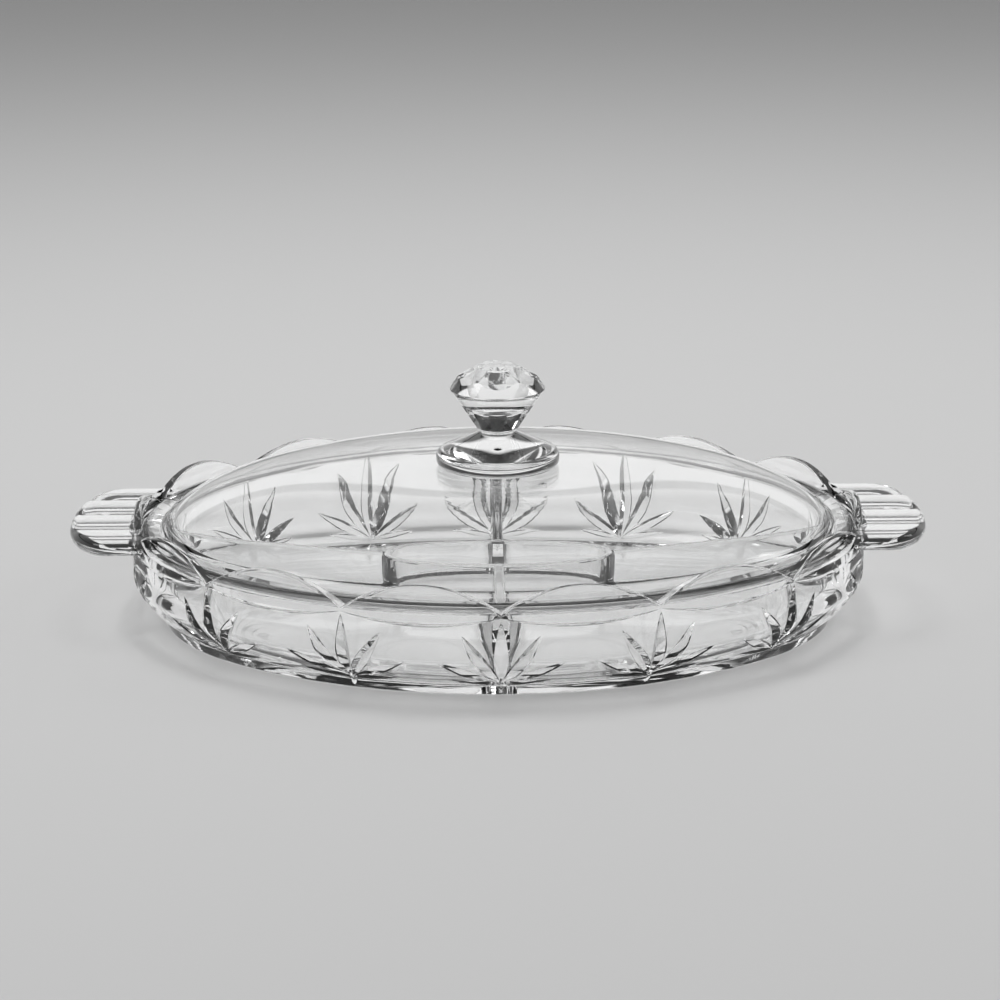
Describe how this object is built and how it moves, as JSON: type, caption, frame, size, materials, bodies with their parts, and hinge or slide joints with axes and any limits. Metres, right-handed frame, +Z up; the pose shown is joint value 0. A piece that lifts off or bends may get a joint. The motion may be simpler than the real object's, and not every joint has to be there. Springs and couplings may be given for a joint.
{
  "type": "covered relish tray",
  "caption": "Oval cut-glass relish tray with scalloped rim, tab handles, dividers round a middle well, and a domed lid with a jewel-cut knob that lifts off.",
  "frame": {"origin": "centre of the oval foot, on the surface that the tray stands on", "axes": "+X along the length towards the right handle, -Y towards the front, +Z up towards the knob"},
  "size_m": [0.34, 0.23, 0.0994],
  "materials": {
    "clear_glass": "clear colourless pressed and cut crystal glass, fire-polished"
  },
  "bodies": {
    "tray": {"bowl_wall": "clear_glass", "bowl_floor": "clear_glass", "well_wall": "clear_glass", "front_divider": "clear_glass", "back_divider": "clear_glass", "left_divider": "clear_glass", "right_divider": "clear_glass", "left_handle": "clear_glass", "right_handle": "clear_glass"},
    "lid": {"lid_flange": "clear_glass", "lid_dome": "clear_glass", "knob_foot": "clear_glass", "knob_jewel": "clear_glass"}
  },
  "joints": [
    {"name": "lid_lift", "type": "slide", "parent": "tray", "child": "lid", "axis": [0, 0, 1], "range_m": [0, 0.12]}
  ]
}
